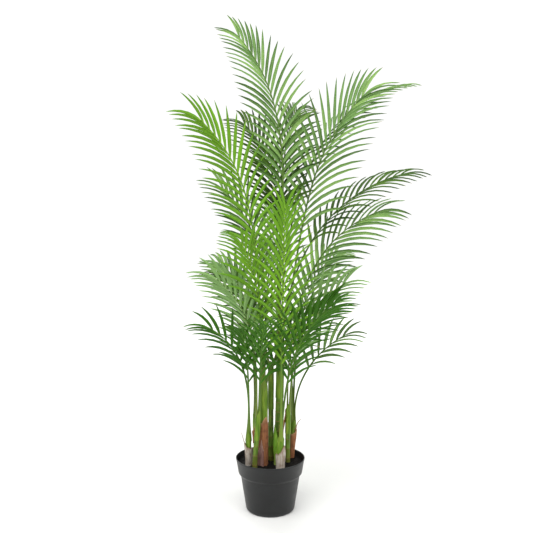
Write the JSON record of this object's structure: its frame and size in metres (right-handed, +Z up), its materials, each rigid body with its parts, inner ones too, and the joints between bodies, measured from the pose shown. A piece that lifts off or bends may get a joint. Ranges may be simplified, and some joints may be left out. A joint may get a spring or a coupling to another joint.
{
  "type": "potted palm",
  "caption": "Potted areca palm: slim clumping green canes with dry brown sheaths and long arching feathered fronds, in a round tapered black nursery pot.",
  "frame": {"origin": "centre of the pot's flat underside", "axes": "+Z up along the pot's axis, +X to the right and -Y towards a viewer of the front"},
  "size_m": [0.7874, 0.7127, 1.5427],
  "materials": {
    "pot_plastic": "moulded charcoal black, fine matt texture",
    "peat_soil": "damp dark peat with bark crumbs",
    "cane_green": "living green stem, satin",
    "sheath_brown": "dry fibrous leaf sheath, matt",
    "sheath_purple": "dry fibrous leaf sheath, purple brown, matt",
    "sheath_pale": "bleached papery leaf sheath, matt",
    "frond_bright": "living leaf, yellow green, satin",
    "frond_mature": "living leaf, mature green, satin",
    "frond_shade": "living leaf, deep green, satin",
    "frond_lush": "living leaf, lush saturated green, satin"
  },
  "bodies": {
    "root": {"pot": "pot_plastic", "soil": "peat_soil", "cane_left": "cane_green", "cane_front_left": "cane_green", "cane_main": "cane_green", "cane_left_back": "cane_green", "cane_back_left": "cane_green", "cane_centre": "cane_green", "cane_front_right": "cane_green", "cane_centre_right": "cane_green", "cane_right_front": "cane_green", "cane_back": "cane_green", "cane_right": "cane_green", "shoot_front": "cane_green", "sheath_main": "sheath_brown", "sheath_main_outer": "sheath_purple", "sheath_left": "sheath_pale", "sheath_left_back": "sheath_brown", "sheath_front_right": "sheath_pale", "sheath_centre_right": "sheath_brown", "sheath_right": "sheath_brown", "frond_top_left": "frond_mature", "frond_upper_left": "frond_bright", "frond_top_back": "frond_shade", "frond_top_right": "frond_mature", "frond_top_far_right": "frond_mature", "frond_right_arching": "frond_shade", "frond_right_mid": "frond_mature", "frond_right_low": "frond_mature", "frond_front_low_right": "frond_lush", "frond_right_lowest": "frond_mature", "frond_left_lowest": "frond_lush", "frond_left_mid": "frond_mature", "frond_left_upper": "frond_mature", "frond_centre_front": "frond_bright", "frond_left_low_back": "frond_shade", "frond_front_mid": "frond_bright", "frond_front_right_mid": "frond_lush", "frond_front_low": "frond_lush", "frond_left_front_low": "frond_lush", "frond_back_high": "frond_shade", "frond_back_mid": "frond_mature", "frond_back_right_mid": "frond_mature", "frond_back_right_low": "frond_mature", "frond_back_left_mid": "frond_mature", "frond_back_left_low": "frond_shade", "frond_back_low": "frond_mature"}
  },
  "joints": []
}
